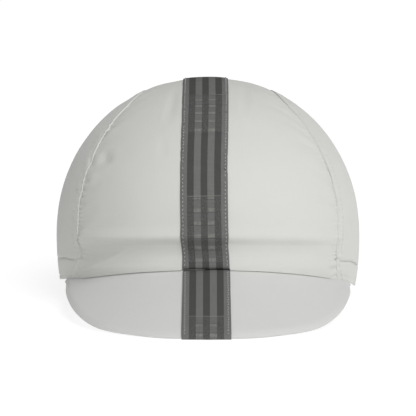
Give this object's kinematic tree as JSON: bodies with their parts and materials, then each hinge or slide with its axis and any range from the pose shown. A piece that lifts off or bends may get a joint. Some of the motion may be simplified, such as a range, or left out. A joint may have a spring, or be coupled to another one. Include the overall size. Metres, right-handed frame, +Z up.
{
  "type": "cycling cap",
  "caption": "Close-fitting cotton cycling cap with a short stiff peak and a woven ribbon that runs over its crown from peak to back hem.",
  "frame": {"origin": "middle of the cap's footprint, on the surface that it rests on", "axes": "+Z up, -Y the way the peak points, +X to the right as the cap is seen from the front"},
  "size_m": [0.1718, 0.2526, 0.1231],
  "materials": {
    "cotton": "plain-woven light grey cotton, matt",
    "ribbon": "ribbed dark grey grosgrain with lengthwise stripes, slight sheen"
  },
  "bodies": {
    "root": {"centre_panel": "cotton", "side_panel_left": "cotton", "side_panel_right": "cotton", "hem_band": "cotton", "peak": "cotton", "crown_ribbon": "ribbon", "peak_ribbon": "ribbon"}
  },
  "joints": []
}
